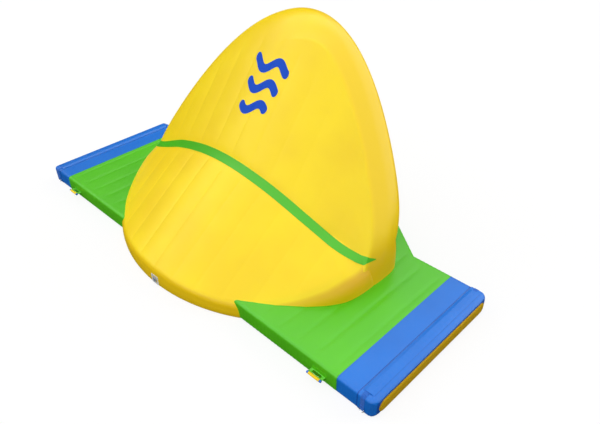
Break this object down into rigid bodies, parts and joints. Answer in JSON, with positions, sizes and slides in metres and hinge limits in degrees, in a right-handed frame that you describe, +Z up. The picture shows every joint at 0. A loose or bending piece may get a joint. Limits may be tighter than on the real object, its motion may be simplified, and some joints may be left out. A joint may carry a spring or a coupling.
{
  "type": "inflatable water park obstacle",
  "caption": "Floating walkway with a leaning leaf-shaped wall folded up from a low domed ramp, closed ends with joining straps, side grab handles and push-button inflation valves.",
  "frame": {"origin": "on the underside, at the middle of the walking deck's length and width", "axes": "+X along the walking deck, +Y across it from the ramp towards the back of the leaning wall, +Z up"},
  "size_m": [6.344, 3.182, 2.6843],
  "materials": {
    "green_coated_fabric": "satin coated fabric",
    "yellow_coated_fabric": "satin coated fabric",
    "blue_coated_fabric": "satin coated fabric",
    "green_tape": "satin welded tape",
    "blue_webbing": "woven",
    "green_webbing": "woven",
    "stainless_steel": "polished wire",
    "yellow_grip_foam": "fine ribbed foam rubber",
    "blue_plastic": "moulded",
    "valve_plastic": "moulded",
    "cap_plastic": "moulded",
    "spring_steel": "drawn wire"
  },
  "bodies": {
    "hull": {"deck_chamber": "green_coated_fabric", "ramp_chamber": "yellow_coated_fabric", "wall_chamber": "yellow_coated_fabric", "crease_strip": "green_tape", "end_section_left": "blue_coated_fabric", "end_section_right": "blue_coated_fabric", "end_panel_left": "yellow_coated_fabric", "end_panel_right": "yellow_coated_fabric", "strap_sleeve_left": "blue_coated_fabric", "strap_sleeve_right": "blue_coated_fabric", "joining_strap_left": "blue_webbing", "joining_strap_right": "blue_webbing", "handle_flap_left_near": "green_coated_fabric", "handle_flap_left_far": "green_coated_fabric", "handle_flap_right_near": "green_coated_fabric", "handle_flap_right_far": "green_coated_fabric", "handle_grip_left_near": "yellow_grip_foam", "handle_grip_left_far": "yellow_grip_foam", "handle_grip_right_near": "yellow_grip_foam", "handle_grip_right_far": "yellow_grip_foam", "handle_core_left_near": "blue_plastic", "handle_core_left_far": "blue_plastic", "handle_core_right_near": "blue_plastic", "handle_core_right_far": "blue_plastic", "mooring_patch_left": "green_coated_fabric", "mooring_patch_right": "green_coated_fabric", "mooring_webbing_left": "green_webbing", "mooring_webbing_right": "green_webbing", "ramp_valve_body": "valve_plastic", "deck_valve_body": "valve_plastic", "wall_valve_body": "valve_plastic", "ramp_valve_spring": "spring_steel", "deck_valve_spring": "spring_steel", "wall_valve_spring": "spring_steel"},
    "ramp_valve_cap": {"ramp_valve_cap": "cap_plastic"},
    "deck_valve_cap": {"deck_valve_cap": "cap_plastic"},
    "wall_valve_cap": {"wall_valve_cap": "cap_plastic"},
    "ramp_valve_plunger": {"ramp_valve_plunger": "valve_plastic"},
    "deck_valve_plunger": {"deck_valve_plunger": "valve_plastic"},
    "wall_valve_plunger": {"wall_valve_plunger": "valve_plastic"},
    "joining_ring_left_near": {"joining_ring_left_near": "stainless_steel"},
    "joining_ring_left_far": {"joining_ring_left_far": "stainless_steel"},
    "joining_ring_right_near": {"joining_ring_right_near": "stainless_steel"},
    "joining_ring_right_far": {"joining_ring_right_far": "stainless_steel"},
    "mooring_ring_left": {"mooring_ring_left": "stainless_steel"},
    "mooring_ring_right": {"mooring_ring_right": "stainless_steel"}
  },
  "joints": [
    {"name": "ramp_valve_cap_turn", "type": "hinge", "parent": "hull", "child": "ramp_valve_cap", "pos_m": [0.04, -1.34286, 0.082], "axis": [0, -1, 0], "range_deg": [0, 90]},
    {"name": "deck_valve_cap_turn", "type": "hinge", "parent": "hull", "child": "deck_valve_cap", "pos_m": [-2.245, 1.02, 0.1145], "axis": [0, 1, 0], "range_deg": [0, 90]},
    {"name": "wall_valve_cap_turn", "type": "hinge", "parent": "hull", "child": "wall_valve_cap", "pos_m": [0, 0.3603, 0.95], "axis": [0, 0.7908, -0.6121], "range_deg": [0, 90]},
    {"name": "ramp_valve_plunger_press", "type": "slide", "parent": "hull", "child": "ramp_valve_plunger", "axis": [0, 1, 0], "range_m": [0, 0.008], "stiffness_N_per_m": 800, "springref_m": -0.002, "deforming": ["ramp_valve_spring"]},
    {"name": "deck_valve_plunger_press", "type": "slide", "parent": "hull", "child": "deck_valve_plunger", "axis": [0, -1, 0], "range_m": [0, 0.008], "stiffness_N_per_m": 800, "springref_m": -0.002, "deforming": ["deck_valve_spring"]},
    {"name": "wall_valve_plunger_press", "type": "slide", "parent": "hull", "child": "wall_valve_plunger", "axis": [0, -0.7908, 0.6121], "range_m": [0, 0.008], "stiffness_N_per_m": 800, "springref_m": -0.002, "deforming": ["wall_valve_spring"]},
    {"name": "joining_ring_left_near_swing", "type": "hinge", "parent": "hull", "child": "joining_ring_left_near", "pos_m": [-3.015, -1.0324, 0.06], "axis": [1, 0, 0], "range_deg": [-150, 0]},
    {"name": "joining_ring_left_far_swing", "type": "hinge", "parent": "hull", "child": "joining_ring_left_far", "pos_m": [-3.015, 1.0324, 0.06], "axis": [1, 0, 0], "range_deg": [0, 150]},
    {"name": "joining_ring_right_near_swing", "type": "hinge", "parent": "hull", "child": "joining_ring_right_near", "pos_m": [3.015, -1.0324, 0.06], "axis": [1, 0, 0], "range_deg": [-150, 0]},
    {"name": "joining_ring_right_far_swing", "type": "hinge", "parent": "hull", "child": "joining_ring_right_far", "pos_m": [3.015, 1.0324, 0.06], "axis": [1, 0, 0], "range_deg": [0, 150]},
    {"name": "mooring_ring_left_swing", "type": "hinge", "parent": "hull", "child": "mooring_ring_left", "pos_m": [-0.6, 1.8073, 0.125], "axis": [1, 0, 0], "range_deg": [0, 150]},
    {"name": "mooring_ring_right_swing", "type": "hinge", "parent": "hull", "child": "mooring_ring_right", "pos_m": [0.6, 1.8073, 0.125], "axis": [1, 0, 0], "range_deg": [0, 150]}
  ]
}
